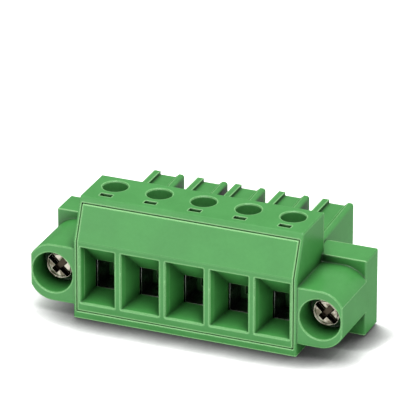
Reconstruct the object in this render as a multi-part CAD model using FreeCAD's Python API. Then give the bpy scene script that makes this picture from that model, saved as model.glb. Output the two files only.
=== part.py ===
import FreeCAD, Part
import math
import os

from FreeCAD import Rotation, Vector

# Pluggable screw terminal block, five positions, with two screw flanges.
# Millimetres, +Z up, +X along the row. Depths (Y) are counted from the wire side,
# where the conductors enter, to the mating side. Before export the part is moved so
# that its origin lies under the middle of its depth, on the surface it stands on.

# Row
POSITIONS = 5
PITCH = 7.62

# Housing outline
HOUSING_HEIGHT = 20.1
KNEE_HEIGHT = 13.35
SLANT_DEPTH = 2.9
TOP_DEPTH = 11.65
REAR_HEIGHT = 13.2
REAR_DEPTH = 16.2
PLUG_DEPTH = 29.6
EDGE_RADIUS = 0.25
BROW_RADIUS = 0.45

# Frame round the front insert
FRAME_SIDE = 0.45
FRAME_LEDGE = 1.15
ROOF_THICKNESS = 1.0
POCKET_DEPTH = 5.4
INSERT_GAP = 0.2

# Front insert
DIVIDER = 1.1
SIDE_CHEEK = 0.5
SILL = 1.4
BROW = 0.93
PANEL_THICKNESS = 1.1
FUNNEL_WALL = 0.8
MOUTH_DEPTH = 1.0
MOUTH_FLARE = 0.35
FUNNEL_FLOOR = 3.35
FUNNEL_CEILING = 8.05
FUNNEL_WIDTH = 4.5
KNEE_RADIUS = 0.5
MOUTH_RADIUS = 0.25

# Catches of the insert in the slots of the roof
CATCH_SLOT_WIDTH = 2.05
CATCH_SLOT_LENGTH = 1.05
CATCH_DEPTH = 4.5
CATCH_GAP = 0.15
CATCH_HEIGHT = 0.55

# Clamps: screw, rising cage and current bar
CLAMP_DEPTH = 8.2
THREAD_RADIUS = 1.5
THREAD_CLEARANCE = 0.05
CLAMP_HEAD_RADIUS = 2.15
CLAMP_HEAD_HEIGHT = 1.9
HEAD_CLEARANCE = 0.3
DRIVER_HOLE_RADIUS = 2.05
DRIVER_HOLE_CHAMFER = 0.15
HEAD_SLOT_WIDTH = 0.7
HEAD_SLOT_DEPTH = 1.0
HEAD_CHAMFER = 0.2
TIP_CHAMFER = 0.4
CAGE_TRAVEL = 3.0
CAGE_INNER_WIDTH = 4.3
CAGE_WALL = 0.75
CAGE_LENGTH = 4.6
CAGE_FLOOR = 1.0
CAGE_NUT = 2.2
CAGE_CORNER = 0.4
CAGE_SIDE_GAP = 0.2
CAGE_FLOOR_GAP = 0.25
CAGE_NUT_GAP = 0.3
FUNNEL_STEP = 0.2
WIRE_ROOM = 5.15
BAR_WIDTH = 4.0
BAR_THICKNESS = 1.0
BAR_END_GAP = 0.3

# Contacts: a two-armed socket behind each current bar, with a steel overspring
PIN_HEIGHT = 7.0
ARM_WIDTH = 2.0
ARM_TIP_THICKNESS = 0.9
PINCH_GAP = 0.9
FLARE_GAP = 2.4
WEB_THICKNESS = 1.0
WEB_DEPTH = 11.6
ARM_BEND_DEPTH = 16.0
PINCH_SETBACK = 3.1
CONTACT_TIP_GAP = 1.0
SPRING_THICKNESS = 0.3
SPRING_START = 13.2

# Contact chambers on the mating side
CHAMBER_TIP_WIDTH = 5.07
CHAMBER_ROOT_WIDTH = 6.1
CHAMBER_BOTTOM = 0.9
CHAMBER_OFFSET = 0.5
RIGHT_OFFSET_CHAMBERS = 2
CHAMBER_END_WALL = 1.0
TUNNEL_SIDE_GAP = 0.1
TUNNEL_TOP_GAP = 0.35
PIN_ENTRY = 1.8
PIN_LEAD_IN = 0.45
RIB_HEIGHT = 0.6
LEFT_RIB_WIDTH = 1.1
LEFT_RIB_OVERHANG = 0.2
RIGHT_RIB_WIDTH = 1.55
RIB_FLANK = 0.64
RIB_CREST_RADIUS = 0.45

# Screw flanges
FLANGE_WIDTH = 7.55
FLANGE_SCREW_OFFSET = 3.81
BLOCK_FRONT = 10.9
BLOCK_BOTTOM = 0.25
BLOCK_RADIUS = 0.3
SLEEVE_FACE = 0.3
SLEEVE_HALF_HEIGHT = 4.9
SLEEVE_CORNER_RADIUS = 4.2
SLEEVE_EDGE_RADIUS = 0.15
SLEEVE_BORE_RADIUS = 3.45
SLEEVE_BORE_DEPTH = 5.2
BORE_CHAMFER = 0.1
FLANGE_HEAD_RADIUS = 2.35
FLANGE_HEAD_HEIGHT = 2.3
FLANGE_THREAD_RADIUS = 1.5
FLANGE_NECK_RADIUS = 1.2
THREAD_HOLE_CLEARANCE = 0.1
THREAD_REACH = 4.4
FLANGE_SLOT_WIDTH = 0.95
FLANGE_SLOT_DEPTH = 1.1
CROSS_LENGTH = 2.8
SLOT_TURN = 42.0

# Derived places
HOUSING_HALF = POSITIONS * PITCH / 2
POCKET_HALF = HOUSING_HALF - FRAME_SIDE
POCKET_TOP = HOUSING_HEIGHT - ROOF_THICKNESS
INSERT_HALF = POCKET_HALF - INSERT_GAP
INSERT_BOTTOM = FRAME_LEDGE + INSERT_GAP
INSERT_TOP = POCKET_TOP - INSERT_GAP
OPENING_BOTTOM = INSERT_BOTTOM + SILL
OPENING_TOP = KNEE_HEIGHT - BROW
SLANT_SLOPE = SLANT_DEPTH / (HOUSING_HEIGHT - KNEE_HEIGHT)

CAGE_FRONT = CLAMP_DEPTH - CAGE_LENGTH / 2
CAGE_FLOOR_TOP = FUNNEL_FLOOR - FUNNEL_STEP
CAGE_BOTTOM = CAGE_FLOOR_TOP - CAGE_FLOOR
CAGE_OUTER_WIDTH = CAGE_INNER_WIDTH + 2 * CAGE_WALL
CELL_WIDTH = CAGE_OUTER_WIDTH + 2 * CAGE_SIDE_GAP
CELL_BACK = CLAMP_DEPTH + CAGE_LENGTH / 2 + CAGE_SIDE_GAP
CELL_FLOOR = CAGE_BOTTOM - CAGE_FLOOR_GAP
BAR_BOTTOM = CAGE_FLOOR_TOP + WIRE_ROOM
BAR_TOP = BAR_BOTTOM + BAR_THICKNESS
NUT_BOTTOM = BAR_TOP + CAGE_NUT_GAP
CAGE_TOP = NUT_BOTTOM + CAGE_NUT
CELL_TOP = CAGE_TOP + CAGE_TRAVEL + CAGE_NUT_GAP
HEAD_TOP = CELL_TOP + CLAMP_HEAD_HEIGHT
HEAD_POCKET_TOP = HEAD_TOP + HEAD_CLEARANCE
HEAD_POCKET_RADIUS = CLAMP_HEAD_RADIUS + HEAD_CLEARANCE

CONTACT_TIP = PLUG_DEPTH - CHAMBER_END_WALL - CONTACT_TIP_GAP
PINCH_DEPTH = CONTACT_TIP - PINCH_SETBACK
ARM_OUTSIDE = BAR_TOP - PIN_HEIGHT
ARM_INSIDE = BAR_BOTTOM - PIN_HEIGHT
TUNNEL_HALF = ARM_WIDTH / 2 + SPRING_THICKNESS + TUNNEL_SIDE_GAP
TUNNEL_RISE = ARM_OUTSIDE + SPRING_THICKNESS + TUNNEL_TOP_GAP

FLANGE_X = HOUSING_HALF + FLANGE_SCREW_OFFSET
FLANGE_OUTSIDE = HOUSING_HALF + FLANGE_WIDTH
HEAD_SEAT = SLEEVE_FACE + SLEEVE_BORE_DEPTH

# How far a cut runs past a face, and how deep joined forms run into each other
THROUGH = 1.0
OVERLAP = 0.25


def position_x(index):
    """X of the middle of one position, counted from the left."""
    return (index - (POSITIONS - 1) / 2) * PITCH


def box(x0, x1, y0, y1, z0, z1):
    """A block between two corners."""
    return Part.makeBox(x1 - x0, y1 - y0, z1 - z0, Vector(x0, y0, z0))


def prism_along_x(points, x0, x1):
    """A closed outline of (depth, height) pairs drawn out along the row."""
    corners = [Vector(x0, y, z) for y, z in points]
    face = Part.Face(Part.makePolygon(corners + corners[:1]))
    return face.extrude(Vector(x1 - x0, 0, 0))


def prism_along_y(points, y0, y1, drift=0.0):
    """A closed outline of (x, height) pairs drawn out from front to back.
    A drift carries it sideways by that much on its way."""
    corners = [Vector(x, y0, z) for x, z in points]
    face = Part.Face(Part.makePolygon(corners + corners[:1]))
    return face.extrude(Vector(drift, y1 - y0, 0))


def frame_outline(x0, x1, z0, z1, y):
    """A rectangular wire that stands at one depth."""
    corners = [Vector(x0, y, z0), Vector(x1, y, z0), Vector(x1, y, z1), Vector(x0, y, z1)]
    return Part.makePolygon(corners + corners[:1])


def taper(front, back):
    """A solid between two rectangles, each (x0, x1, z0, z1, depth)."""
    return Part.makeLoft([frame_outline(*front), frame_outline(*back)], True, True)


def rod_up(radius, x, y, z0, z1):
    """A round bar that stands upright."""
    return Part.makeCylinder(radius, z1 - z0, Vector(x, y, z0))


def rod_back(radius, x, z, y0, y1):
    """A round bar that lies from front to back."""
    return Part.makeCylinder(radius, y1 - y0, Vector(x, y0, z), Vector(0, 1, 0))


def edges_where(shape, test):
    """The straight edges of a shape whose two ends both pass a test."""
    found = []
    for edge in shape.Edges:
        if len(edge.Vertexes) == 2 and all(test(v.Point) for v in edge.Vertexes):
            found.append(edge)
    return found


def near(value, target):
    """Whether two lengths are the same to a hundredth of a millimetre."""
    return abs(value - target) < 0.01


def front_face_depth(height):
    """Depth of the wire-side face at one height: upright to the knee, then sloping."""
    return max(0.0, (height - KNEE_HEIGHT) * SLANT_SLOPE)


def housing_shell():
    """The body of the housing: sloping front, high clamp block, low rear step."""
    outline = [
        (0, 0),
        (0, KNEE_HEIGHT),
        (SLANT_DEPTH, HOUSING_HEIGHT),
        (TOP_DEPTH, HOUSING_HEIGHT),
        (TOP_DEPTH, REAR_HEIGHT),
        (REAR_DEPTH, REAR_HEIGHT),
        (REAR_DEPTH, 0),
    ]
    body = prism_along_x(outline, -HOUSING_HALF, HOUSING_HALF)
    brow = edges_where(body, lambda p: near(p.y, SLANT_DEPTH) and near(p.z, HOUSING_HEIGHT))
    body = body.makeFillet(BROW_RADIUS, brow)
    sides = [e for e in body.Edges if is_side_edge(e)]
    return body.makeFillet(EDGE_RADIUS, sides)


def is_side_edge(edge):
    """Whether an edge bounds a side face of the housing in front, above or behind."""
    ends = [v.Point for v in edge.Vertexes]
    on_side = all(near(abs(p.x), HOUSING_HALF) for p in ends)
    on_front_or_top = all(p.y < TOP_DEPTH + EDGE_RADIUS for p in ends)
    crosses = all(near(p.y, TOP_DEPTH) and near(p.z, HOUSING_HEIGHT) for p in ends)
    under = all(near(p.z, 0) for p in ends)
    low = any(near(p.z, REAR_HEIGHT) for p in ends)
    return crosses or (on_side and on_front_or_top and not under and not low)


def chamber_offset(index):
    """Sideways shift of a chamber, which keys the plug to its header."""
    return CHAMBER_OFFSET if index < RIGHT_OFFSET_CHAMBERS else -CHAMBER_OFFSET


def chamber(index):
    """One tapered contact chamber with two guide ribs along its roof."""
    middle = position_x(index) + chamber_offset(index)
    foot = REAR_DEPTH - THROUGH
    root = chamber_half(foot)
    tip = chamber_half(PLUG_DEPTH)
    body = taper(
        (middle - root, middle + root, CHAMBER_BOTTOM, REAR_HEIGHT, foot),
        (middle - tip, middle + tip, CHAMBER_BOTTOM, REAR_HEIGHT, PLUG_DEPTH),
    )
    return body.fuse([left_rib(middle - tip), right_rib(middle)])


def chamber_half(depth):
    """Half the width of a chamber at one depth; its sides taper evenly to the tip."""
    share = (PLUG_DEPTH - depth) / (PLUG_DEPTH - REAR_DEPTH)
    return (CHAMBER_TIP_WIDTH + (CHAMBER_ROOT_WIDTH - CHAMBER_TIP_WIDTH) * share) / 2


def left_rib(tip_x):
    """Square guide rib that stands out a little from the left side of a chamber's tip."""
    outer_x = tip_x - LEFT_RIB_OVERHANG
    outline = [
        (outer_x, REAR_HEIGHT - RIB_HEIGHT),
        (outer_x, REAR_HEIGHT + RIB_HEIGHT),
        (outer_x + LEFT_RIB_WIDTH, REAR_HEIGHT + RIB_HEIGHT),
        (outer_x + LEFT_RIB_WIDTH, REAR_HEIGHT - RIB_HEIGHT),
    ]
    return prism_along_y(outline, TOP_DEPTH - THROUGH, PLUG_DEPTH)


def right_rib(middle):
    """Guide rib, rounded outside and sloping inside, along a chamber's tapered right side."""
    start = TOP_DEPTH - THROUGH
    outer_x = middle + chamber_half(start)
    drift = chamber_half(PLUG_DEPTH) - chamber_half(start)
    outline = [
        (outer_x, REAR_HEIGHT - RIB_HEIGHT),
        (outer_x, REAR_HEIGHT + RIB_HEIGHT),
        (outer_x - RIGHT_RIB_WIDTH + RIB_FLANK, REAR_HEIGHT + RIB_HEIGHT),
        (outer_x - RIGHT_RIB_WIDTH, REAR_HEIGHT),
        (outer_x - RIGHT_RIB_WIDTH, REAR_HEIGHT - RIB_HEIGHT),
    ]
    rib = prism_along_y(outline, start, PLUG_DEPTH, drift)
    top = REAR_HEIGHT + RIB_HEIGHT
    along = [e for e in edges_where(rib, lambda p: near(p.z, top)) if e.Length > RIGHT_RIB_WIDTH]
    crest = max(along, key=lambda e: e.CenterOfMass.x)
    return rib.makeFillet(RIB_CREST_RADIUS, [crest])


def sleeve_outline(side):
    """Section of a flange sleeve: rounded above and below, flat outside and to the body."""
    x = side * FLANGE_X
    outside = side * FLANGE_OUTSIDE
    inside = side * (HOUSING_HALF - THROUGH)
    bend = FLANGE_SCREW_OFFSET / 2
    flat = arc_height(FLANGE_OUTSIDE - FLANGE_X)
    top = Vector(x, SLEEVE_FACE, PIN_HEIGHT + SLEEVE_HALF_HEIGHT)
    bottom = Vector(x, SLEEVE_FACE, PIN_HEIGHT - SLEEVE_HALF_HEIGHT)
    upper_flat = Vector(outside, SLEEVE_FACE, PIN_HEIGHT + flat)
    lower_flat = Vector(outside, SLEEVE_FACE, PIN_HEIGHT - flat)
    upper_bend = Vector(x + side * bend, SLEEVE_FACE, PIN_HEIGHT + arc_height(bend))
    lower_bend = Vector(x + side * bend, SLEEVE_FACE, PIN_HEIGHT - arc_height(bend))
    inner_top = Vector(inside, SLEEVE_FACE, top.z)
    inner_bottom = Vector(inside, SLEEVE_FACE, bottom.z)
    edges = [
        Part.makeLine(inner_bottom, inner_top),
        Part.makeLine(inner_top, top),
        Part.Arc(top, upper_bend, upper_flat).toShape(),
        Part.makeLine(upper_flat, lower_flat),
        Part.Arc(lower_flat, lower_bend, bottom).toShape(),
        Part.makeLine(bottom, inner_bottom),
    ]
    return Part.Wire(edges)


def arc_height(offset):
    """Height of the sleeve's rounding above its axis at a sideways offset."""
    centre = SLEEVE_HALF_HEIGHT - SLEEVE_CORNER_RADIUS
    return centre + math.sqrt(SLEEVE_CORNER_RADIUS ** 2 - offset ** 2)


def flange(side):
    """One screw flange: the block behind and the sleeve that hides the screw head."""
    inner = side * (HOUSING_HALF - THROUGH)
    outer = side * FLANGE_OUTSIDE
    block = box(
        min(inner, outer), max(inner, outer), BLOCK_FRONT, REAR_DEPTH, BLOCK_BOTTOM, REAR_HEIGHT
    )
    outside = edges_where(block, lambda p: near(p.x, outer))
    block = block.makeFillet(BLOCK_RADIUS, outside)
    length = Vector(0, BLOCK_FRONT + THROUGH - SLEEVE_FACE, 0)
    sleeve = Part.Face(sleeve_outline(side)).extrude(length)
    rim = [e for e in sleeve.Edges if is_sleeve_rim(e, inner)]
    sleeve = sleeve.makeFillet(SLEEVE_EDGE_RADIUS, rim)
    return block.fuse(sleeve)


def is_sleeve_rim(edge, inner):
    """Whether an edge bounds the sleeve's front face away from the housing."""
    in_front = near(edge.BoundBox.YMax, SLEEVE_FACE)
    return in_front and not near(edge.CenterOfMass.x, inner)


def flange_bore(side):
    """Stepped hole of a flange: wide for the head, narrow for the thread end."""
    x = side * FLANGE_X
    head = rod_back(SLEEVE_BORE_RADIUS, x, PIN_HEIGHT, SLEEVE_FACE - THROUGH, HEAD_SEAT)
    narrow = FLANGE_THREAD_RADIUS + THREAD_HOLE_CLEARANCE
    passage = rod_back(narrow, x, PIN_HEIGHT, SLEEVE_FACE, REAR_DEPTH + THROUGH)
    rim = Part.makeCone(
        SLEEVE_BORE_RADIUS + BORE_CHAMFER,
        SLEEVE_BORE_RADIUS,
        BORE_CHAMFER,
        Vector(x, SLEEVE_FACE, PIN_HEIGHT),
        Vector(0, 1, 0),
    )
    return head.fuse([passage, rim])


def clamp_cell(index):
    """The room of one clamp, open to the front insert, with its driver hole."""
    x = position_x(index)
    half = CELL_WIDTH / 2
    front = POCKET_DEPTH - THROUGH
    cell = box(x - half, x + half, front, CELL_BACK, CELL_FLOOR, CELL_TOP)
    channel = box(
        x - HEAD_POCKET_RADIUS,
        x + HEAD_POCKET_RADIUS,
        front,
        CLAMP_DEPTH,
        CELL_TOP - OVERLAP,
        HEAD_POCKET_TOP,
    )
    pocket = rod_up(HEAD_POCKET_RADIUS, x, CLAMP_DEPTH, CELL_TOP - OVERLAP, HEAD_POCKET_TOP)
    driver = rod_up(
        DRIVER_HOLE_RADIUS,
        x,
        CLAMP_DEPTH,
        HEAD_POCKET_TOP - OVERLAP,
        HOUSING_HEIGHT + THROUGH,
    )
    rim = Part.makeCone(
        DRIVER_HOLE_RADIUS,
        DRIVER_HOLE_RADIUS + DRIVER_HOLE_CHAMFER,
        DRIVER_HOLE_CHAMFER,
        Vector(x, CLAMP_DEPTH, HOUSING_HEIGHT - DRIVER_HOLE_CHAMFER),
    )
    return cell.fuse([channel, pocket, driver, rim])


def contact_tunnel(index):
    """The room of one socket contact, with the flared pin entry at its end."""
    x = position_x(index)
    tunnel = box(
        x - TUNNEL_HALF,
        x + TUNNEL_HALF,
        CELL_BACK - OVERLAP,
        PLUG_DEPTH - CHAMBER_END_WALL,
        PIN_HEIGHT - TUNNEL_RISE,
        PIN_HEIGHT + TUNNEL_RISE,
    )
    half = PIN_ENTRY / 2
    wide = half + PIN_LEAD_IN
    entry = box(
        x - half, x + half, CONTACT_TIP, PLUG_DEPTH + THROUGH, PIN_HEIGHT - half, PIN_HEIGHT + half
    )
    flare = taper(
        (x - half, x + half, PIN_HEIGHT - half, PIN_HEIGHT + half, PLUG_DEPTH - PIN_LEAD_IN),
        (x - wide, x + wide, PIN_HEIGHT - wide, PIN_HEIGHT + wide, PLUG_DEPTH),
    )
    return tunnel.fuse([entry, flare])


def catch_slot(index):
    """Slot in the roof that the insert's catch springs into."""
    x = position_x(index)
    half = CATCH_SLOT_WIDTH / 2
    reach = CATCH_SLOT_LENGTH / 2
    return box(
        x - half,
        x + half,
        CATCH_DEPTH - reach,
        CATCH_DEPTH + reach,
        POCKET_TOP - INSERT_GAP,
        HOUSING_HEIGHT + THROUGH,
    )


def make_housing():
    """The one-piece green moulding that carries everything."""
    added = [flange(-1), flange(1)]
    added += [chamber(i) for i in range(POSITIONS)]
    body = housing_shell().fuse(added)
    pocket = box(
        -POCKET_HALF, POCKET_HALF, -THROUGH, POCKET_DEPTH, FRAME_LEDGE, POCKET_TOP
    )
    removed = [pocket, flange_bore(-1), flange_bore(1)]
    for i in range(POSITIONS):
        removed += [clamp_cell(i), contact_tunnel(i), catch_slot(i)]
    return body.cut(removed).removeSplitter()


def opening_span(index):
    """Left and right edges of one wire opening at the face of the insert."""
    left = position_x(index) - (PITCH - DIVIDER) / 2
    right = position_x(index) + (PITCH - DIVIDER) / 2
    return max(left, SIDE_CHEEK - INSERT_HALF), min(right, INSERT_HALF - SIDE_CHEEK)


def wire_funnel(index):
    """Room of one wire entry: a flared mouth, then a funnel down to the clamp."""
    left, right = opening_span(index)
    x = position_x(index)
    half = FUNNEL_WIDTH / 2
    throat = (x - half, x + half, FUNNEL_FLOOR, FUNNEL_CEILING)
    mouth = (left, right, OPENING_BOTTOM, OPENING_TOP)
    inner = (
        left + MOUTH_FLARE,
        right - MOUTH_FLARE,
        OPENING_BOTTOM + MOUTH_FLARE / 2,
        OPENING_TOP - MOUTH_FLARE,
    )
    cuts = [
        box(left, right, -THROUGH, 0, OPENING_BOTTOM, OPENING_TOP),
        taper(mouth + (0,), inner + (MOUTH_DEPTH,)),
        taper(inner + (MOUTH_DEPTH,), throat + (POCKET_DEPTH,)),
        box(*throat[:2], POCKET_DEPTH, POCKET_DEPTH + THROUGH, *throat[2:]),
    ]
    return cuts[0].fuse(cuts[1:])


def rear_pocket(index):
    """Hollow behind the sloping panel, above one funnel, open to the back."""
    left, right = opening_span(index)
    roof = INSERT_TOP - PANEL_THICKNESS
    panel_foot = PANEL_THICKNESS
    outline = [
        (panel_foot, OPENING_TOP + FUNNEL_WALL),
        (POCKET_DEPTH + THROUGH, FUNNEL_CEILING + FUNNEL_WALL),
        (POCKET_DEPTH + THROUGH, roof),
        (panel_foot + front_face_depth(roof), roof),
    ]
    return prism_along_x(outline, left + MOUTH_FLARE, right - MOUTH_FLARE)


def catch(index):
    """Small wedge on top of the insert that springs into its slot."""
    x = position_x(index)
    half = CATCH_SLOT_WIDTH / 2 - CATCH_GAP
    reach = CATCH_SLOT_LENGTH / 2 - CATCH_GAP
    outline = [
        (CATCH_DEPTH - reach, INSERT_TOP - OVERLAP),
        (CATCH_DEPTH - reach, INSERT_TOP + CATCH_HEIGHT),
        (CATCH_DEPTH + reach, INSERT_TOP + CATCH_HEIGHT / 2),
        (CATCH_DEPTH + reach, INSERT_TOP - OVERLAP),
    ]
    return prism_along_x(outline, x - half, x + half)


def make_front_insert():
    """The snap-in front with its sloping panel and one funnel for each wire."""
    outline = [
        (0, INSERT_BOTTOM),
        (0, KNEE_HEIGHT),
        (front_face_depth(INSERT_TOP), INSERT_TOP),
        (POCKET_DEPTH, INSERT_TOP),
        (POCKET_DEPTH, INSERT_BOTTOM),
    ]
    body = prism_along_x(outline, -INSERT_HALF, INSERT_HALF)
    knee = edges_where(body, lambda p: near(p.y, 0) and near(p.z, KNEE_HEIGHT))
    body = body.makeFillet(KNEE_RADIUS, knee)
    removed = []
    for i in range(POSITIONS):
        removed += [wire_funnel(i), rear_pocket(i)]
    body = body.cut(removed)
    rims = edges_where(body, lambda p: near(p.y, 0) and is_rim(p))
    body = body.makeFillet(MOUTH_RADIUS, rims)
    return body.fuse([catch(i) for i in range(POSITIONS)]).removeSplitter()


def is_rim(point):
    """Whether a corner belongs to the rim of a wire opening."""
    return near(point.z, OPENING_BOTTOM) or near(point.z, OPENING_TOP)


def make_clamp_screw(index):
    """Slotted captive screw that lifts the cage; its tip stands on the current bar."""
    x = position_x(index)
    shank = rod_up(THREAD_RADIUS, x, CLAMP_DEPTH, BAR_TOP, CELL_TOP + OVERLAP)
    tip = [e for e in shank.Edges if near(e.BoundBox.ZMax, BAR_TOP)]
    shank = shank.makeChamfer(TIP_CHAMFER, tip)
    head = rod_up(CLAMP_HEAD_RADIUS, x, CLAMP_DEPTH, CELL_TOP, HEAD_TOP)
    rim = [e for e in head.Edges if near(e.BoundBox.ZMin, HEAD_TOP)]
    head = head.makeChamfer(HEAD_CHAMFER, rim)
    slot = box(
        x - CLAMP_HEAD_RADIUS - THROUGH,
        x + CLAMP_HEAD_RADIUS + THROUGH,
        CLAMP_DEPTH - HEAD_SLOT_WIDTH / 2,
        CLAMP_DEPTH + HEAD_SLOT_WIDTH / 2,
        HEAD_TOP - HEAD_SLOT_DEPTH,
        HEAD_TOP + THROUGH,
    )
    return shank.fuse(head).cut(slot).removeSplitter()


def make_clamp_cage(index):
    """Rising cage: a folded frame whose threaded top runs on the clamp screw."""
    x = position_x(index)
    outer = CAGE_OUTER_WIDTH / 2
    inner = CAGE_INNER_WIDTH / 2
    back = CAGE_FRONT + CAGE_LENGTH
    frame = box(x - outer, x + outer, CAGE_FRONT, back, CAGE_BOTTOM, CAGE_TOP)
    corners = [e for e in frame.Edges if near(e.BoundBox.YLength, CAGE_LENGTH)]
    frame = frame.makeFillet(CAGE_CORNER, corners)
    window = box(
        x - inner, x + inner, CAGE_FRONT - THROUGH, back + THROUGH, CAGE_FLOOR_TOP, NUT_BOTTOM
    )
    thread = rod_up(
        THREAD_RADIUS + THREAD_CLEARANCE, x, CLAMP_DEPTH, BAR_TOP, CAGE_TOP + THROUGH
    )
    return frame.cut([window, thread]).removeSplitter()


def upper_arm(outside):
    """Outside or inside line of the upper contact arm, from its bend to its tip."""
    if outside:
        lift = [ARM_OUTSIDE, PINCH_GAP / 2 + ARM_TIP_THICKNESS, FLARE_GAP / 2 + ARM_TIP_THICKNESS]
    else:
        lift = [ARM_INSIDE, PINCH_GAP / 2, FLARE_GAP / 2]
    depths = [ARM_BEND_DEPTH, PINCH_DEPTH, CONTACT_TIP]
    return [(y, PIN_HEIGHT + rise) for y, rise in zip(depths, lift)]


def mirrored(points):
    """The same line below the pin's axis, walked the other way."""
    return [(y, 2 * PIN_HEIGHT - z) for y, z in reversed(points)]


def make_contact(index):
    """Current bar and two-armed socket, folded from one strip of copper alloy."""
    x = position_x(index)
    web_back = WEB_DEPTH + WEB_THICKNESS
    outside = upper_arm(True)
    inside = upper_arm(False)
    outline = [(CELL_BACK - OVERLAP, BAR_TOP)] + outside + inside[::-1]
    outline += [(web_back, BAR_BOTTOM), (web_back, 2 * PIN_HEIGHT - BAR_BOTTOM)]
    outline += mirrored(inside[::-1]) + mirrored(outside)
    outline += [(WEB_DEPTH, 2 * PIN_HEIGHT - BAR_TOP), (WEB_DEPTH, BAR_BOTTOM)]
    outline += [(CELL_BACK - OVERLAP, BAR_BOTTOM)]
    arms = prism_along_x(outline, x - ARM_WIDTH / 2, x + ARM_WIDTH / 2)
    bar = box(
        x - BAR_WIDTH / 2,
        x + BAR_WIDTH / 2,
        POCKET_DEPTH + BAR_END_GAP,
        CELL_BACK,
        BAR_BOTTOM,
        BAR_TOP,
    )
    return bar.fuse(arms).removeSplitter()


def spring_leg():
    """Outline of the upper leg of the overspring, lying on the contact arm."""
    on_arm = [(SPRING_START, BAR_TOP)] + upper_arm(True)[:2]
    above = [(y, z + SPRING_THICKNESS) for y, z in reversed(on_arm)]
    return on_arm + above


def make_contact_spring(index):
    """Steel overspring: a side web with one leg on each contact arm."""
    x = position_x(index)
    side = x + ARM_WIDTH / 2
    reach = ARM_OUTSIDE + SPRING_THICKNESS
    web = box(
        side,
        side + SPRING_THICKNESS,
        SPRING_START,
        ARM_BEND_DEPTH,
        PIN_HEIGHT - reach,
        PIN_HEIGHT + reach,
    )
    upper = prism_along_x(spring_leg(), x - ARM_WIDTH / 2, side + SPRING_THICKNESS)
    lower = prism_along_x(
        mirrored(spring_leg()), x - ARM_WIDTH / 2, side + SPRING_THICKNESS
    )
    return web.fuse([upper, lower]).removeSplitter()


def make_flange_screw(side):
    """Captive flange screw: slot and cross in its head, thin neck, thread end behind."""
    x = side * FLANGE_X
    face = HEAD_SEAT - FLANGE_HEAD_HEIGHT
    neck = rod_back(
        FLANGE_NECK_RADIUS, x, PIN_HEIGHT, HEAD_SEAT - OVERLAP, REAR_DEPTH + OVERLAP
    )
    thread_tip = REAR_DEPTH + THREAD_REACH
    thread = rod_back(FLANGE_THREAD_RADIUS, x, PIN_HEIGHT, REAR_DEPTH, thread_tip)
    tip = [e for e in thread.Edges if near(e.BoundBox.YMin, thread_tip)]
    thread = thread.makeChamfer(TIP_CHAMFER, tip)
    head = rod_back(FLANGE_HEAD_RADIUS, x, PIN_HEIGHT, face, HEAD_SEAT)
    rim = [e for e in head.Edges if near(e.BoundBox.YMax, face)]
    head = head.makeChamfer(HEAD_CHAMFER, rim)
    slot = recess(x, face, 2 * (FLANGE_HEAD_RADIUS + THROUGH), SLOT_TURN)
    cross = recess(x, face, CROSS_LENGTH, SLOT_TURN + 90)
    return neck.fuse([thread, head]).cut([slot, cross]).removeSplitter()


def recess(x, face, length, turn):
    """One bar of the driver recess, turned about the screw's axis."""
    bar = box(
        -length / 2,
        length / 2,
        face - THROUGH,
        face + FLANGE_SLOT_DEPTH,
        -FLANGE_SLOT_WIDTH / 2,
        FLANGE_SLOT_WIDTH / 2,
    )
    bar.Placement = FreeCAD.Placement(
        Vector(x, 0, PIN_HEIGHT), Rotation(Vector(0, 1, 0), turn)
    )
    return bar


def export(shape, node):
    """Writes one piece, moved so that the origin is under the middle of the depth."""
    placed = shape.copy()
    placed.translate(Vector(0, -PLUG_DEPTH / 2, 0))
    placed.exportStep("parts/" + node + ".step")


def main():
    os.makedirs("parts", exist_ok=True)
    export(make_housing(), "housing")
    export(make_front_insert(), "front_insert")
    for i in range(POSITIONS):
        number = str(i + 1)
        export(make_clamp_screw(i), "clamp_screw_" + number)
        export(make_clamp_cage(i), "clamp_cage_" + number)
        export(make_contact(i), "contact_" + number)
        export(make_contact_spring(i), "contact_spring_" + number)
    export(make_flange_screw(-1), "flange_screw_left")
    export(make_flange_screw(1), "flange_screw_right")


main()
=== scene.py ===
import math
from dataclasses import dataclass

import bmesh
import bpy
import numpy as np
from bpy.props import FloatProperty, FloatVectorProperty, PointerProperty, StringProperty
from mathutils import Matrix, Vector


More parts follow.
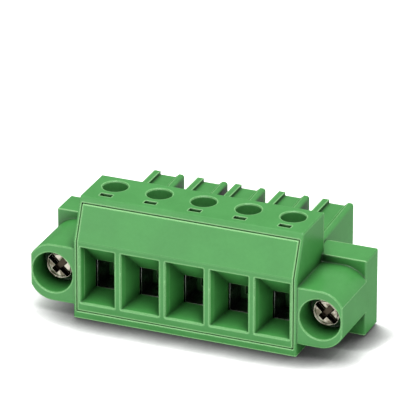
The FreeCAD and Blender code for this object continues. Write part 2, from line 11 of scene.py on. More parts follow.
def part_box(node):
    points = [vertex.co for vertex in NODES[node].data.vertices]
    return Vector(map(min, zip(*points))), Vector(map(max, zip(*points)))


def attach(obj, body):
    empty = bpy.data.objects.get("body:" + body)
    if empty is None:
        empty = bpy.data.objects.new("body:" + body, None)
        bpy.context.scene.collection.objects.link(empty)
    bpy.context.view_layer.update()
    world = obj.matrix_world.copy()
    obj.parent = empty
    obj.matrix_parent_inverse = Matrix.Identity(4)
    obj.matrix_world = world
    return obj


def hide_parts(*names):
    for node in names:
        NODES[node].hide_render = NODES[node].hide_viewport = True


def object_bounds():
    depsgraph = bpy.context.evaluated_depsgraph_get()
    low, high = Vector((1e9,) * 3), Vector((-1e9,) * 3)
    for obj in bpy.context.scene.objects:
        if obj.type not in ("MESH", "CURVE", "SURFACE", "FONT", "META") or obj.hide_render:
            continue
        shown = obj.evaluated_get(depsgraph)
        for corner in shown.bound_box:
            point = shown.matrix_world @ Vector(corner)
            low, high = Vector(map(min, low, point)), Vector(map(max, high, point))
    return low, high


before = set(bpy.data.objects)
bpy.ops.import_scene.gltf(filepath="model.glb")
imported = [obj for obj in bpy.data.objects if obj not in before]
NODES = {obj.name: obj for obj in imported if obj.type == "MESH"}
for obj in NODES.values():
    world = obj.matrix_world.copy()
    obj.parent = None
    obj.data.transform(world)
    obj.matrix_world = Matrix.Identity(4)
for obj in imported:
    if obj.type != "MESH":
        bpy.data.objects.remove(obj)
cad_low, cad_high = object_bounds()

bl_info = {
    "name": "Pluggable Terminal Block",
    "version": (1, 0, 0),
    "blender": (4, 5, 0),
    "location": "View3D > Sidebar > Terminal Block",
    "description": "Finishes and fine detail of a five-way pluggable screw terminal block",
    "category": "Object",
}

MM = 0.001
POSITIONS = 5
SIDES = ("left", "right")

# Steps of a screw's surface: round it, along its face, round its rim and per turn of thread
TURN_STEPS = 128
FACE_ROWS = 56
RIM_ROWS = 6
ROWS_PER_TURN = 14
# Power that rounds the bottom of a thread's V
THREAD_SOFTNESS = 0.8
# Distance under which points at a pole are one, and the angle from which an edge is sharp
POLE_GAP = 0.0005 * MM
SHARP_ANGLE = math.radians(38)

# Share of light that the mouldings' satin skin mirrors, the same at any angle
SATIN_SHARE = 0.04
# Size in millimetres of the pigment's clouds and flecks, of the grain, of the plating's
# patches and of the paper's fibres
CLOUD_MM = 7.0
FLECK_MM = 0.5
GRAIN_MM = 0.16
PATCH_MM = 1.3
FIBRE_MM = 1.5
# Depth of the grain of mouldings and paper, and of the lines in metal
GRAIN_DEPTH = 0.02 * MM
LINE_DEPTH = 0.01 * MM
# Rounding of the edges of mouldings and metals
EDGE_RADIUS = 0.42 * MM
METAL_EDGE = 0.1 * MM
# Cosines between rounded and flat normal where the painted highlight of an edge starts and
# where it is full, for edges of about 90 degrees and for blunter ones
SHARP_EDGES = (0.985, 0.95)
FAINT_EDGES = (0.999, 0.985)
# How far the painted shade of the bores and the wire funnels looks for walls, the share
# of open view that counts as shut and as open, and the tone that shut places are painted
BORE_SHADE_REACH = 3.4 * MM
CAVE_SHADE_REACH = 4.2 * MM
PAINTED_SHADE_CLOSED = 0.38
PAINTED_SHADE_OPEN = 0.85
PAINTED_SHADE_TONE = 0.1

# Colour painted into a driver recess as painted shade, and of light and dark
RECESS_PAINTED_SHADE = "#463E34"
WHITE = "#FFFFFF"
BLACK = "#000000"
PAPER = "#F2F2F2"

# Half the side of the sheet of paper in metres, and the points along it
PAPER_HALF = 2
PAPER_POINTS = 9
# Nearest and farthest that the camera sees, in metres
CAMERA_NEAR = 0.05
CAMERA_FAR = 20


# Colours and nodes


def linear(hex_colour):
    """One sRGB hex colour as linear red, green, blue and alpha."""
    digits = hex_colour.lstrip("#")
    srgb = np.array([int(digits[i:i + 2], 16) for i in (0, 2, 4)]) / 255
    toe = srgb / 12.92
    curve = ((srgb + 0.055) / 1.055) ** 2.4
    return (*np.where(srgb <= 0.04045, toe, curve).tolist(), 1.0)


def add(tree, kind, settings=(), links=()):
    """A node of one kind: its own settings and constant sockets, then its input links.
    A socket goes by its name, or by its number where several share a name."""
    node = tree.nodes.new(kind)
    for key, value in dict(settings).items():
        if isinstance(key, int) or key in node.inputs:
            node.inputs[key].default_value = value
        else:
            setattr(node, key, value)
    for socket, source in dict(links).items():
        tree.links.new(source, node.inputs[socket])
    return node


def blank_material(name):
    """A material with an empty node tree and its output node."""
    material = bpy.data.materials.new(name)
    material.use_nodes = True
    material.node_tree.nodes.clear()
    output = add(material.node_tree, "ShaderNodeOutputMaterial")
    return material, material.node_tree, output


def per_mm(size_mm):
    """Noise scale, in features to the metre, for features of one size in millimetres."""
    return 1 / (size_mm * MM)


def dress(objects, material):
    """Gives each object one material in place of those it came with."""
    for thing in objects:
        thing.data.materials.clear()
        thing.data.materials.append(material)


# Materials


def outer_edges(tree, rounded, radius, agreements):
    """1 along outer edges and 0 elsewhere: there a rounded normal leaves the face's own
    one, and the piece doesn't stand in its own way as it does in an inner corner. The
    agreements are the cosines between the two normals where an edge starts and is full."""
    flat = add(tree, "ShaderNodeNewGeometry")
    agreement = add(
        tree,
        "ShaderNodeVectorMath",
        {"operation": "DOT_PRODUCT"},
        {0: rounded.outputs["Normal"], 1: flat.outputs["Normal"]},
    )
    corner = add(
        tree,
        "ShaderNodeMapRange",
        {"From Min": agreements[0], "From Max": agreements[1]},
        {"Value": agreement.outputs["Value"]},
    )
    near = add(
        tree,
        "ShaderNodeAmbientOcclusion",
        {"samples": 8, "only_local": True, "Distance": 2 * radius},
    )
    outer = add(
        tree,
        "ShaderNodeMapRange",
        {"From Min": 0.8, "From Max": 0.95},
        {"Value": near.outputs["AO"]},
    )
    both = add(
        tree,
        "ShaderNodeMath",
        {"operation": "MULTIPLY"},
        {0: corner.outputs["Result"], 1: outer.outputs["Result"]},
    )
    return both.outputs[0]


def moulded_polyamide(name, painted_shade_reach, agreements, light, shade, edge, strength):
    """Green glass-filled polyamide from a spark-eroded tool: nearly matt, with a fine
    even grain, a faint cloudy flow of the pigment, a thin satin sheen that doesn't grow
    at low angles, as on such rough skins, painted soft highlights along its outer edges
    and painted shade in its hollows."""
    material, tree, output = blank_material(name)
    position = add(tree, "ShaderNodeTexCoord").outputs["Object"]
    cloud = add(
        tree,
        "ShaderNodeTexNoise",
        {"Scale": per_mm(CLOUD_MM), "Detail": 3.0, "Roughness": 0.55, "Distortion": 0.6},
        {"Vector": position},
    )
    fleck = add(
        tree,
        "ShaderNodeTexNoise",
        {"Scale": per_mm(FLECK_MM), "Detail": 2.0, "Roughness": 0.6},
        {"Vector": position},
    )
    speck = add(
        tree,
        "ShaderNodeMath",
        {"operation": "MULTIPLY_ADD", 1: 0.35},
        {0: fleck.outputs["Fac"], 2: cloud.outputs["Fac"]},
    )
    spread = add(
        tree,
        "ShaderNodeMapRange",
        {"From Min": 0.45, "From Max": 0.9},
        {"Value": speck.outputs[0]},
    )
    pigment = add(
        tree,
        "ShaderNodeMix",
        {"data_type": "RGBA", 6: linear(shade), 7: linear(light)},
        {0: spread.outputs["Result"]},
    )
    # Edges are drawn rounded, and outer edges are painted lighter: a painted highlight.
    rounded = add(tree, "ShaderNodeBevel", {"samples": 8, "Radius": EDGE_RADIUS})
    with_painted_highlight = add(
        tree,
        "ShaderNodeMix",
        {"data_type": "RGBA", 7: linear(edge)},
        {0: outer_edges(tree, rounded, EDGE_RADIUS, agreements), 6: pigment.outputs[2]},
    )
    # Hollows are painted darker the more closed they are: painted shade.
    hollow = add(
        tree,
        "ShaderNodeAmbientOcclusion",
        {"samples": 8, "only_local": True, "Distance": painted_shade_reach},
    )
    painted_shade_factor = add(
        tree,
        "ShaderNodeMapRange",
        {"From Min": PAINTED_SHADE_CLOSED, "From Max": PAINTED_SHADE_OPEN, "To Min": PAINTED_SHADE_TONE},
        {"Value": hollow.outputs["AO"]},
    )
    with_painted_shade = add(
        tree,
        "ShaderNodeVectorMath",
        {"operation": "SCALE"},
        {0: with_painted_highlight.outputs[2], "Scale": painted_shade_factor.outputs["Result"]},
    )
    # The grain of the tool is about 0.05 mm and is drawn coarser, so that it shows.
    grain = add(
        tree,
        "ShaderNodeTexNoise",
        {"Scale": per_mm(GRAIN_MM), "Detail": 2.0, "Roughness": 0.5},
        {"Vector": position},
    )
    bump = add(
        tree,
        "ShaderNodeBump",
        {"Strength": strength, "Distance": GRAIN_DEPTH},
        {"Height": grain.outputs["Fac"], "Normal": rounded.outputs["Normal"]},
    )
    sheen = add(
        tree,
        "ShaderNodeMapRange",
        {"From Min": 0.3, "From Max": 0.7, "To Min": 0.3, "To Max": 0.38},
        {"Value": cloud.outputs["Fac"]},
    )
    matt = add(
        tree,
        "ShaderNodeBsdfDiffuse",
        (),
        {"Color": with_painted_shade.outputs[0], "Normal": bump.outputs["Normal"]},
    )
    satin = add(
        tree,
        "ShaderNodeBsdfAnisotropic",
        {"Color": linear(WHITE)},
        {"Roughness": sheen.outputs["Result"], "Normal": bump.outputs["Normal"]},
    )
    skin = add(
        tree,
        "ShaderNodeMixShader",
        {0: SATIN_SHARE},
        {1: matt.outputs[0], 2: satin.outputs[0]},
    )
    tree.links.new(skin.outputs[0], output.inputs["Surface"])
    return material


@dataclass
class MetalSkin:
    """How a metal's skin was worked: its mean roughness, the size in millimetres of its
    drawn lines, how the pattern is stretched along each axis, and the power of the
    painted shade in its hollows."""

    roughness: float
    line_mm: float
    stretch: tuple
    painted_shade_depth: float = 0.0


FLANGE_SCREW_SKIN = MetalSkin(0.18, 0.3, (1, 0.15, 1), 0.7)
CLAMP_SCREW_SKIN = MetalSkin(0.3, 0.3, (1, 1, 0.15))
CAGE_SKIN = MetalSkin(0.32, 0.25, (0.2, 1, 1), 2.0)
CONTACT_SKIN = MetalSkin(0.34, 0.4, (1, 0.2, 1), 2.0)
SPRING_SKIN = MetalSkin(0.25, 0.2, (1, 0.2, 1))


def plated_metal(name, bright, shade, skin):
    """Metal under a thin bright plating: tumbled smooth, with fine drawn lines and a
    slight cloudiness that keeps its highlights from being mirror-sharp. A driver recess,
    which the point attribute "recess" marks, is painted darker as painted shade, and so
    are hollows by the skin's power; outer edges get a painted highlight in the bright tone."""
    material, tree, output = blank_material(name)
    position = add(tree, "ShaderNodeTexCoord").outputs["Object"]
    squeezed = add(tree, "ShaderNodeMapping", {"Scale": skin.stretch}, {"Vector": position})
    lines = add(
        tree,
        "ShaderNodeTexNoise",
        {"Scale": per_mm(skin.line_mm), "Detail": 3.0, "Roughness": 0.6},
        {"Vector": squeezed.outputs[0]},
    )
    cloud = add(
        tree,
        "ShaderNodeTexNoise",
        {"Scale": per_mm(PATCH_MM), "Detail": 2.0},
        {"Vector": position},
    )
    patchy = add(
        tree,
        "ShaderNodeMapRange",
        {"From Min": 0.42, "From Max": 0.58},
        {"Value": cloud.outputs["Fac"]},
    )
    plating = add(
        tree,
        "ShaderNodeMix",
        {"data_type": "RGBA", 6: linear(shade), 7: linear(bright)},
        {0: patchy.outputs["Result"]},
    )
    # A driver recess is painted darker the deeper it lies: painted shade
    recess = add(tree, "ShaderNodeAttribute", {"attribute_name": "recess"})
    with_recess_shade = add(
        tree,
        "ShaderNodeMix",
        {"data_type": "RGBA", 7: linear(RECESS_PAINTED_SHADE)},
        {0: recess.outputs["Fac"], 6: plating.outputs[2]},
    )
    # Hollows are painted darker by the skin's power: painted shade
    hollow = add(tree, "ShaderNodeAmbientOcclusion", {"samples": 8, "Distance": CAVE_SHADE_REACH})
    painted_shade_factor = add(
        tree,
        "ShaderNodeMath",
        {"operation": "POWER", 1: skin.painted_shade_depth},
        {0: hollow.outputs["AO"]},
    )
    with_painted_shade = add(
        tree,
        "ShaderNodeVectorMath",
        {"operation": "SCALE"},
        {0: with_recess_shade.outputs[2], "Scale": painted_shade_factor.outputs[0]},
    )
    rounded = add(tree, "ShaderNodeBevel", {"samples": 8, "Radius": METAL_EDGE})
    # Outer edges are painted in the bright tone: a painted highlight
    with_painted_highlight = add(
        tree,
        "ShaderNodeMix",
        {"data_type": "RGBA", 7: linear(bright)},
        {0: outer_edges(tree, rounded, METAL_EDGE, SHARP_EDGES), 6: with_painted_shade.outputs[0]},
    )
    smoothest, roughest = skin.roughness * 0.75, skin.roughness * 1.3
    gloss = add(
        tree,
        "ShaderNodeMapRange",
        {"From Min": 0.3, "From Max": 0.7, "To Min": smoothest, "To Max": roughest},
        {"Value": lines.outputs["Fac"]},
    )
    bump = add(
        tree,
        "ShaderNodeBump",
        {"Strength": 0.25, "Distance": LINE_DEPTH},
        {"Height": lines.outputs["Fac"], "Normal": rounded.outputs["Normal"]},
    )
    shader = add(
        tree,
        "ShaderNodeBsdfPrincipled",
        {"Metallic": 1.0},
        {
            "Base Color": with_painted_highlight.outputs[2],
            "Roughness": gloss.outputs["Result"],
            "Normal": bump.outputs["Normal"],
        },
    )
    tree.links.new(shader.outputs[0], output.inputs["Surface"])
    return material


def seamless_paper(name, lift, shade_reach, shade_depth, shade_side):
    """White studio paper: matt, and lifted a little for the eye and for mirrored light so
    that it prints white. Close to the object the eye sees it painted darker, by how open it
    is towards shade_side to the power of shade_depth: a painted soft shadow of its foot."""
    material, tree, output = blank_material(name)
    position = add(tree, "ShaderNodeTexCoord").outputs["Object"]
    fibre = add(tree, "ShaderNodeTexNoise", {"Scale": per_mm(FIBRE_MM)}, {"Vector": position})
    bump = add(
        tree,
        "ShaderNodeBump",
        {"Strength": 0.05, "Distance": GRAIN_DEPTH},
        {"Height": fibre.outputs["Fac"]},
    )
    paper = add(
        tree,
        "ShaderNodeBsdfDiffuse",
        {"Color": linear(PAPER)},
        {"Normal": bump.outputs["Normal"]},
    )
    glow = add(tree, "ShaderNodeEmission", {"Color": linear(WHITE), "Strength": lift})
    lifted = add(tree, "ShaderNodeAddShader", (), {0: paper.outputs[0], 1: glow.outputs[0]})
    # Black where the paper is in painted shadow
    dark = add(tree, "ShaderNodeBsdfDiffuse", {"Color": linear(BLACK)})
    side = add(tree, "ShaderNodeCombineXYZ", {"X": shade_side[0], "Y": shade_side[1], "Z": 1.0})
    near = add(
        tree,
        "ShaderNodeAmbientOcclusion",
        {"samples": 16, "Distance": shade_reach},
        {"Normal": side.outputs[0]},
    )
    painted_shade_factor = add(
        tree,
        "ShaderNodeMath",
        {"operation": "POWER", 1: shade_depth},
        {0: near.outputs["AO"]},
    )
    painted_shadow = add(
        tree,
        "ShaderNodeMixShader",
        (),
        {0: painted_shade_factor.outputs[0], 1: dark.outputs[0], 2: lifted.outputs[0]},
    )
    chosen = add(
        tree,
        "ShaderNodeMixShader",
        (),
        {0: seen_rays(tree), 1: paper.outputs[0], 2: painted_shadow.outputs[0]},
    )
    tree.links.new(chosen.outputs[0], output.inputs["Surface"])
    return material


def seen_rays(tree):
    """1 for the rays of the eye and for mirrored and refracted ones, 0 for the rest."""
    path = add(tree, "ShaderNodeLightPath")
    clear = add(
        tree,
        "ShaderNodeMath",
        {"operation": "MAXIMUM"},
        {0: path.outputs["Is Glossy Ray"], 1: path.outputs["Is Transmission Ray"]},
    )
    seen = add(
        tree,
        "ShaderNodeMath",
        {"operation": "MAXIMUM"},
        {0: path.outputs["Is Camera Ray"], 1: clear.outputs[0]},
    )
    return seen.outputs[0]


# Surfaces worked out on a grid


def grid_mesh(name, points, closed_round):
    """A mesh from an array of points, rows by columns by 3. Neighbouring points make
    four-sided faces, and the last column joins the first where the surface is round."""
    rows, columns = points.shape[:2]
    number = np.arange(rows * columns).reshape(rows, columns)
    right = np.roll(number, -1, axis=1) if closed_round else number[:, 1:]
    left = number if closed_round else number[:, :-1]
    faces = np.stack([left[:-1], right[:-1], right[1:], left[1:]], axis=-1).reshape(-1, 4)
    mesh = bpy.data.meshes.new(name)
    mesh.from_pydata(points.reshape(-1, 3), [], faces)
    mesh.validate()
    return mesh


def close_poles(mesh):
    """Welds the points that meet at the poles of a round surface."""
    work = bmesh.new()
    work.from_mesh(mesh)
    bmesh.ops.remove_doubles(work, verts=work.verts, dist=POLE_GAP)
    bmesh.ops.recalc_face_normals(work, faces=work.faces)
    work.to_mesh(mesh)
    work.free()


def new_piece(name, mesh, material, body, node):
    """Links a finished mesh as the piece that stands for one node of the frame."""
    mesh.polygons.foreach_set("use_smooth", np.ones(len(mesh.polygons), bool))
    mesh.set_sharp_from_angle(angle=SHARP_ANGLE)
    piece = bpy.data.objects.new(name, mesh)
    bpy.context.scene.collection.objects.link(piece)
    mesh.materials.append(material)
    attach(piece, body)
    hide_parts(node)
    return piece


def soft_step(value, edge, width):
    """0 outside an edge and 1 inside it, changing smoothly over one width."""
    t = np.clip((edge - value) / width + 0.5, 0, 1)
    return t * t * (3 - 2 * t)


@dataclass
class ScrewForm:
    """Lengths of one screw in metres, counted from the face of its head."""

    head_radius: float
    head_height: float
    rim: float
    reach: float
    neck_radius: float
    thread_start: float
    thread_radius: float
    pitch: float
    groove: float


def head_profile(form):
    """Radius and drop from the middle of the face, round the rim and in under the head."""
    face = np.linspace(0, form.head_radius - form.rim, FACE_ROWS)
    bend = np.linspace(0, math.pi / 2, RIM_ROWS)[1:]
    radii = [*face, *(form.head_radius - form.rim * (1 - np.sin(bend)))]
    drops = [*(face * 0), *(form.rim * (1 - np.cos(bend)))]
    half_rim = form.rim / 2
    radii += [form.head_radius, form.head_radius, form.head_radius - half_rim, form.neck_radius]
    drops += [form.head_height / 2, form.head_height - half_rim, form.head_height, form.head_height]
    return np.array(radii), np.array(drops)


def thread_profile(form):
    """Radius and drop along the threaded part, tapered over one pitch at its tip."""
    rows = int((form.reach - form.thread_start) / form.pitch * ROWS_PER_TURN)
    drops = np.linspace(form.thread_start, form.reach, rows)
    taper = np.clip((form.reach - drops) / form.pitch, 0, 1)
    return form.thread_radius - form.groove * (1 - taper), drops


def screw_surface(form, recess):
    """The whole skin of a screw as radius and drop over turn and row.

    Rows run from the middle of the head's face out to its rim, down its side, in under
    it, along the neck and the thread and in to the middle of the tip. On the thread the
    radius is the crest less a rounded V that follows drop / pitch - turn, and grows to
    its full depth within one pitch. The face is lowered by recess(x, y), which comes
    back for each point of the skin beside the points."""
    turns = np.linspace(0, 2 * math.pi, TURN_STEPS, endpoint=False)
    head_radii, head_drops = head_profile(form)
    thread_radii, thread_drops = thread_profile(form)
    radii = np.concatenate([head_radii, [form.neck_radius], thread_radii, [0.0]])
    drops = np.concatenate([head_drops, [form.thread_start], thread_drops, [form.reach]])
    radius = np.repeat(radii[:, None], TURN_STEPS, axis=1)
    drop = np.repeat(drops[:, None], TURN_STEPS, axis=1)
    first = len(head_radii) + 1
    phase = drop[first:-1] / form.pitch - turns / (2 * math.pi)
    rounded_v = (0.5 + 0.5 * np.cos(2 * math.pi * phase)) ** THREAD_SOFTNESS
    run_in = np.clip((drop[first:-1] - form.thread_start) / form.pitch, 0, 1)
    radius[first:-1] -= form.groove * rounded_v * run_in
    x = radius * np.cos(turns)
    y = radius * np.sin(turns)
    lowered = np.zeros_like(drop)
    lowered[:FACE_ROWS] = recess(x[:FACE_ROWS], y[:FACE_ROWS])
    return np.stack([x, y, drop + lowered], axis=-1), lowered


def screw_mesh(name, points, lowered, depth):
    """The mesh of a screw, with how deep each point lies in the driver recess, 0 to 1."""
    mesh = grid_mesh(name, points, True)
    mark = mesh.attributes.new("recess", "FLOAT", "POINT")
    mark.data.foreach_set("value", np.clip(lowered / depth, 0, 1).ravel().astype(np.float32))
    close_poles(mesh)
    return mesh


def placed(points, origin, axis, across):
    """Turns points of (across, other, along) so that along follows an axis from an origin."""
    along = np.array(axis, float)
    first = np.array(across, float)
    other = np.cross(along, first)
    basis = np.stack([first, other, along])
    return points @ basis + np.array(origin)


# Sizes and colours a user may change


def length(name, millimetres, description):
    """A length, given in millimetres and kept in metres."""
    metres = millimetres * MM
    return FloatProperty(name=name, description=description, default=metres, unit="LENGTH")


def angle(name, degrees, description):
    """An angle, given in degrees."""
    return FloatProperty(
        name=name, description=description, default=math.radians(degrees), subtype="ANGLE"
    )


def power(name, watts, description):
    """A lamp's power, given in watts."""
    return FloatProperty(name=name, description=description, default=watts, unit="POWER")


def amount(name, value, description):
    """A plain number that isn't below zero."""
    return FloatProperty(name=name, description=description, default=value, min=0)


def place(name, millimetres, description):
    """A place on the object's axes, given in millimetres and kept in metres."""
    metres = [value * MM for value in millimetres]
    return FloatVectorProperty(
        name=name, description=description, default=metres, subtype="TRANSLATION", unit="LENGTH"
    )


def colour(name, hex_colour, description):
    """A colour as an sRGB hex value."""
    return StringProperty(name=name, description=description, default=hex_colour)


class TerminalStageSettings(bpy.types.PropertyGroup):
    """Where the camera stands and how the studio is lit."""

    azimuth: angle("Azimuth", 22.25, "Camera's turn from the wire side towards the right end")
    elevation: angle("Elevation", 24.34, "Camera's angle above the floor")
    roll: angle("Roll", 0.13, "Camera's turn about its own line of sight")
    distance: length("Distance", 845.5, "From the camera to the middle of the object")
    lens: amount("Focal Length", 469.1, "In millimetres, on a picture 36 mm wide")
    lift: length("Frame Lift", 9.8, "How far the camera stands above the object's line")
    aim_side: length("Aim Side", 0.12, "How far right of the middle the camera is set on")
    aim_depth: length("Aim Depth", 8.0, "Depth behind the wire side that the camera is set on")
    aim_height: length("Aim Height", 9.0, "Height above the floor that the camera is set on")
    key_place: place("Overhead Softbox", (70, -140, 500), "Place of the softbox above")
    key_size: length("Overhead Size", 300, "Side of the softbox above")
    key_power: power("Overhead Power", 2.3, "Power of the softbox above")
    fill_place: place("Front Softbox", (-400, -760, 300), "Place of the softbox in front")
    fill_size: length("Front Size", 350, "Side of the softbox in front")
    fill_power: power("Front Power", 0.6, "Power of the softbox in front")
    sky: amount("Room Light", 0.42, "Strength of the even light from all round")
    paper_lift: amount("Paper Lift", 0.75, "Light added to the paper as it is seen")
    # The foot shade is a painted shadow on the paper
    shade_reach: length("Foot Shade Reach", 5.8, "How far the shade round the foot spreads")
    shade_depth: amount("Foot Shade Depth", 4.0, "Power that darkens the shade round the foot")
    shade_side: FloatVectorProperty(
        name="Foot Shade Side",
        description="Where the light that the shade is drawn for comes from, for each unit up",
        default=(-2.1, 3.4),
        size=2,
    )


class TerminalFinishSettings(bpy.types.PropertyGroup):
    """Colours of the mouldings and metals, as sRGB hex values."""

    green: colour("Moulding", "#4F9C51", "Lighter tone of the green polyamide")
    green_shade: colour("Moulding Shade", "#469248", "Darker tone of the green polyamide")
    # The edge tone is a painted highlight along outer edges
    green_painted_highlight: colour("Moulding Painted Highlight", "#9AD892", "Tone of the green polyamide at its edges")
    nickel: colour("Nickel", "#C6C0B1", "Plating of the flange screws")
    nickel_shade: colour("Nickel Shade", "#6C6656", "Duller patches on the flange screws")
    zinc: colour("Zinc", "#C9CBC8", "Plating of the clamp screws and cages")
    screw_shade: colour("Screw Shade", "#8F918C", "Duller patches on the clamp screws")
    cage_shade: colour("Cage Shade", "#A9ABA6", "Duller patches on the clamp cages")
    tin: colour("Tin", "#D3CFC6", "Plating of the contacts")
    tin_shade: colour("Tin Shade", "#B5AFA2", "Duller patches on the contacts")
    spring: colour("Spring Steel", "#B9BBBD", "Bare steel of the oversprings")
    spring_shade: colour("Spring Shade", "#85878A", "Duller patches on the oversprings")
    grain: amount("Moulding Grain", 0.35, "Strength of the spark-eroded grain")


class TerminalScrewSettings(bpy.types.PropertyGroup):
    """Thread, head and driver recess of the screws."""

    pitch: length("Thread Pitch", 0.5, "Rise of the M3 thread in one turn")
    groove: length("Thread Depth", 0.27, "Depth of the M3 thread")
    thread: length("Thread Radius", 1.5, "Outer radius of the M3 thread")
    rim: length("Head Rim", 0.2, "Rounding of a head's rim")
    wall: length("Recess Wall", 0.08, "Width over which a recess's wall falls")
    flange_head: length("Flange Head Height", 2.3, "Height of a flange screw's head")
    flange_neck: length("Flange Neck Radius", 1.2, "Radius of a flange screw's thin neck")
    flange_thread: length("Flange Thread Length", 4.4, "Length of a flange screw's thread end")
    flange_slot: length("Flange Slot Width", 0.95, "Width of a flange screw's slot")
    flange_depth: length("Flange Slot Depth", 0.95, "Depth of a flange screw's slot")
    cross_reach: length("Cross Reach", 1.4, "Half the length of the short bar of the cross")
    ring: length("Ring Radius", 1.95, "Radius of the ring turned into a flange screw's face")
    ring_width: length("Ring Width", 0.2, "Width of that ring")
    ring_depth: length("Ring Depth", 0.12, "Depth of that ring")
    turn: angle("Slot Turn", 42, "Turn of the flange screws' slots")
    clamp_head: length("Clamp Head Height", 1.9, "Height of a clamp screw's head")
    clamp_slot: length("Clamp Slot Width", 0.7, "Width of a clamp screw's slot")
    clamp_depth: length("Clamp Slot Depth", 1.0, "Depth of a clamp screw's slot")


# Operators


class TERMINAL_OT_stage(bpy.types.Operator):
    """Adds the paper, the lamps, the room light and the camera"""

    bl_idname = "terminal.stage"
    bl_label = "Stage"

    def execute(self, context):
        settings = context.scene.terminal_stage
        self.paper(settings)
        self.room(context.scene, settings)
        self.lamps(context.scene, settings)
        self.camera(context.scene, settings)
        context.scene.view_settings.view_transform = "Standard"
        return {"FINISHED"}

    def paper(self, settings):
        """A flat square sheet of paper on the plane z = 0."""
        side = np.linspace(-PAPER_HALF, PAPER_HALF, PAPER_POINTS)
        x, y = np.meshgrid(side, side)
        mesh = grid_mesh("paper", np.stack([x, y, x * 0], axis=-1), False)
        sheet = bpy.data.objects.new("paper", mesh)
        bpy.context.scene.collection.objects.link(sheet)
        shade = (settings.shade_reach, settings.shade_depth, settings.shade_side)
        mesh.materials.append(seamless_paper("seamless paper", settings.paper_lift, *shade))

    def room(self, scene, settings):
        """White all round for the eye and in mirrored light, and weak as light."""
        world = bpy.data.worlds.new("room")
        world.use_nodes = True
        tree = world.node_tree
        tree.nodes.clear()
        strength = add(
            tree,
            "ShaderNodeMath",
            {"operation": "MULTIPLY_ADD", 1: 1 - settings.sky, 2: settings.sky},
            {0: seen_rays(tree)},
        )
        light = add(
            tree,
            "ShaderNodeBackground",
            {"Color": linear(WHITE)},
            {"Strength": strength.outputs[0]},
        )
        output = add(tree, "ShaderNodeOutputWorld")
        tree.links.new(light.outputs[0], output.inputs["Surface"])
        scene.world = world

    def lamps(self, scene, settings):
        """A softbox above gives the faces and the shadow, one in front opens the shade."""
        key = (settings.key_place, settings.key_size, settings.key_power)
        fill = (settings.fill_place, settings.fill_size, settings.fill_power)
        self.softbox(scene, "overhead softbox", *key)
        self.softbox(scene, "front softbox", *fill)

    def softbox(self, scene, name, stand, size, watts):
        """A square lamp that faces the middle of the object."""
        data = bpy.data.lights.new(name, "AREA")
        data.shape = "SQUARE"
        data.size = size
        data.energy = watts
        lamp = bpy.data.objects.new(name, data)
        lamp.location = stand
        aim = Vector((0, 0, cad_high.z / 2)) - Vector(stand)
        lamp.rotation_euler = aim.to_track_quat("-Z", "Y").to_euler()
        scene.collection.objects.link(lamp)

    def camera(self, scene, settings):
        """Stands back along azimuth and elevation and looks straight down that line."""
        turn, rise = settings.azimuth, settings.elevation
        back = Vector((
            math.sin(turn) * math.cos(rise),
            -math.cos(turn) * math.cos(rise),
            math.sin(rise),
        ))
        right = Vector((0, 0, 1)).cross(back).normalized()
        up = back.cross(right)
        tilt = Matrix.Rotation(settings.roll, 3, back)
        right, up = tilt @ right, tilt @ up
        depth = cad_low.y + settings.aim_depth
        middle = Vector((settings.aim_side, depth, settings.aim_height))
        data = bpy.data.cameras.new("camera")
        data.lens = settings.lens
        data.clip_start = CAMERA_NEAR
        data.clip_end = CAMERA_FAR
        camera = bpy.data.objects.new("camera", data)
        stand = middle + back * settings.distance + up * settings.lift
        axes = Matrix((right, up, back)).transposed().to_4x4()
        camera.matrix_world = Matrix.Translation(stand) @ axes
        scene.collection.objects.link(camera)
        scene.camera = camera


class TERMINAL_OT_mouldings(bpy.types.Operator):
    """Finishes the housing and the front insert"""

    bl_idname = "terminal.mouldings"
    bl_label = "Mouldings"

    def execute(self, context):
        finish = context.scene.terminal_finish
        looks = (finish.green, finish.green_shade, finish.green_painted_highlight, finish.grain)
        body = moulded_polyamide("green polyamide housing", BORE_SHADE_REACH, SHARP_EDGES, *looks)
        insert = moulded_polyamide("green polyamide insert", CAVE_SHADE_REACH, FAINT_EDGES, *looks)
        dress([NODES["housing"]], body)
        dress([NODES["front_insert"]], insert)
        return {"FINISHED"}


class TERMINAL_OT_flange_screws(bpy.types.Operator):
    """Adds the two flange screws with their threads and combined recesses"""

    bl_idname = "terminal.flange_screws"
    bl_label = "Flange Screws"

    def execute(self, context):
        sizes = context.scene.terminal_screws
        finish = context.scene.terminal_finish
        tones = (finish.nickel, finish.nickel_shade)
        metal = plated_metal("nickel-plated steel", *tones, FLANGE_SCREW_SKIN)
        for side in SIDES:
            node = "flange_screw_" + side
            low, high = (np.array(corner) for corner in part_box(node))
            middle = (low + high) / 2
            reach = high[1] - low[1]
            form = ScrewForm(
                head_radius=(high[0] - low[0]) / 2,
                head_height=sizes.flange_head,
                rim=sizes.rim,
                reach=reach,
                neck_radius=sizes.flange_neck,
                thread_start=reach - sizes.flange_thread,
                thread_radius=sizes.thread,
                pitch=sizes.pitch,
                groove=sizes.groove,
            )
            points, lowered = screw_surface(form, lambda x, y: self.recess(sizes, x, y))
            points = placed(points, (middle[0], low[1], middle[2]), (0, 1, 0), (1, 0, 0))
            mesh = screw_mesh(node + "_threaded", points, lowered, sizes.flange_depth)
            new_piece(node + "_threaded", mesh, metal, node, node)
        return {"FINISHED"}

    def recess(self, sizes, x, y):
        """Depth of the driver recess: a slot right across, a short bar across that, and
        a shallow turned ring round both."""
        along = x * math.cos(sizes.turn) + y * math.sin(sizes.turn)
        across = y * math.cos(sizes.turn) - x * math.sin(sizes.turn)
        half = sizes.flange_slot / 2
        slot = soft_step(abs(across), half, sizes.wall)
        bar = soft_step(abs(along), half, sizes.wall)
        bar *= soft_step(abs(across), sizes.cross_reach, sizes.wall)
        from_ring = abs(np.hypot(x, y) - sizes.ring)
        ring = soft_step(from_ring, sizes.ring_width / 2, sizes.wall) * sizes.ring_depth
        return np.maximum(np.maximum(slot, bar) * sizes.flange_depth, ring)


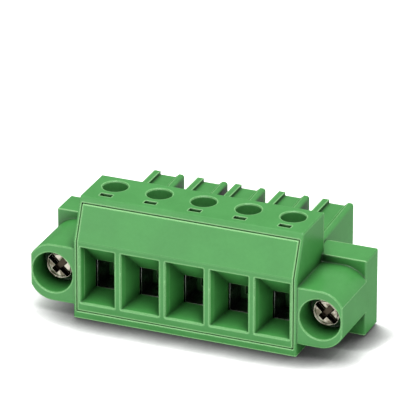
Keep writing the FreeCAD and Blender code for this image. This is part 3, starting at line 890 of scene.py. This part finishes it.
class TERMINAL_OT_clamp_screws(bpy.types.Operator):
    """Adds the five slotted clamp screws with their threads"""

    bl_idname = "terminal.clamp_screws"
    bl_label = "Clamp Screws"

    def execute(self, context):
        sizes = context.scene.terminal_screws
        finish = context.scene.terminal_finish
        tones = (finish.zinc, finish.screw_shade)
        metal = plated_metal("zinc-plated steel screw", *tones, CLAMP_SCREW_SKIN)
        for number in range(1, POSITIONS + 1):
            node = "clamp_screw_" + str(number)
            low, high = (np.array(corner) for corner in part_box(node))
            middle = (low + high) / 2
            form = ScrewForm(
                head_radius=(high[0] - low[0]) / 2,
                head_height=sizes.clamp_head,
                rim=sizes.rim,
                reach=high[2] - low[2],
                neck_radius=sizes.thread,
                thread_start=sizes.clamp_head,
                thread_radius=sizes.thread,
                pitch=sizes.pitch,
                groove=sizes.groove,
            )
            points, lowered = screw_surface(form, lambda x, y: self.slot(sizes, y))
            points = placed(points, (middle[0], middle[1], high[2]), (0, 0, -1), (1, 0, 0))
            mesh = screw_mesh(node + "_threaded", points, lowered, sizes.clamp_depth)
            body = "screw_" + str(number)
            new_piece(node + "_threaded", mesh, metal, body, node)
        return {"FINISHED"}

    def slot(self, sizes, across):
        """Depth of the straight slot in the head."""
        return soft_step(abs(across), sizes.clamp_slot / 2, sizes.wall) * sizes.clamp_depth


class TERMINAL_OT_clamp_cages(bpy.types.Operator):
    """Finishes the five clamp cages"""

    bl_idname = "terminal.clamp_cages"
    bl_label = "Clamp Cages"

    def execute(self, context):
        finish = context.scene.terminal_finish
        tones = (finish.zinc, finish.cage_shade)
        metal = plated_metal("zinc-plated steel cage", *tones, CAGE_SKIN)
        dress([NODES["clamp_cage_" + str(n + 1)] for n in range(POSITIONS)], metal)
        return {"FINISHED"}


class TERMINAL_OT_contacts(bpy.types.Operator):
    """Finishes the five socket contacts and their oversprings"""

    bl_idname = "terminal.contacts"
    bl_label = "Contacts"

    def execute(self, context):
        finish = context.scene.terminal_finish
        tones = (finish.tin, finish.tin_shade)
        tin = plated_metal("tin-plated copper alloy", *tones, CONTACT_SKIN)
        tones = (finish.spring, finish.spring_shade)
        steel = plated_metal("bright spring steel", *tones, SPRING_SKIN)
        dress([NODES["contact_" + str(n + 1)] for n in range(POSITIONS)], tin)
        dress([NODES["contact_spring_" + str(n + 1)] for n in range(POSITIONS)], steel)
        return {"FINISHED"}


class TERMINAL_PT_panel(bpy.types.Panel):
    """Lists the steps in the sidebar of the 3D view"""

    bl_idname = "TERMINAL_PT_panel"
    bl_label = "Terminal Block"
    bl_space_type = "VIEW_3D"
    bl_region_type = "UI"
    bl_category = "Terminal Block"

    def draw(self, context):
        for step in STEPS:
            self.layout.operator(step.bl_idname)


STEPS = (
    TERMINAL_OT_stage,
    TERMINAL_OT_mouldings,
    TERMINAL_OT_flange_screws,
    TERMINAL_OT_clamp_screws,
    TERMINAL_OT_clamp_cages,
    TERMINAL_OT_contacts,
)
SETTINGS = {
    "terminal_stage": TerminalStageSettings,
    "terminal_finish": TerminalFinishSettings,
    "terminal_screws": TerminalScrewSettings,
}
CLASSES = (*SETTINGS.values(), *STEPS, TERMINAL_PT_panel)


def register():
    for each in CLASSES:
        bpy.utils.register_class(each)
    for name, group in SETTINGS.items():
        setattr(bpy.types.Scene, name, PointerProperty(type=group))


def unregister():
    for name in SETTINGS:
        delattr(bpy.types.Scene, name)
    for each in reversed(CLASSES):
        bpy.utils.unregister_class(each)


def main():
    register()
    for step in STEPS:
        group, operator = step.bl_idname.split(".")
        getattr(getattr(bpy.ops, group), operator)()


if __name__ == "__main__":
    main()
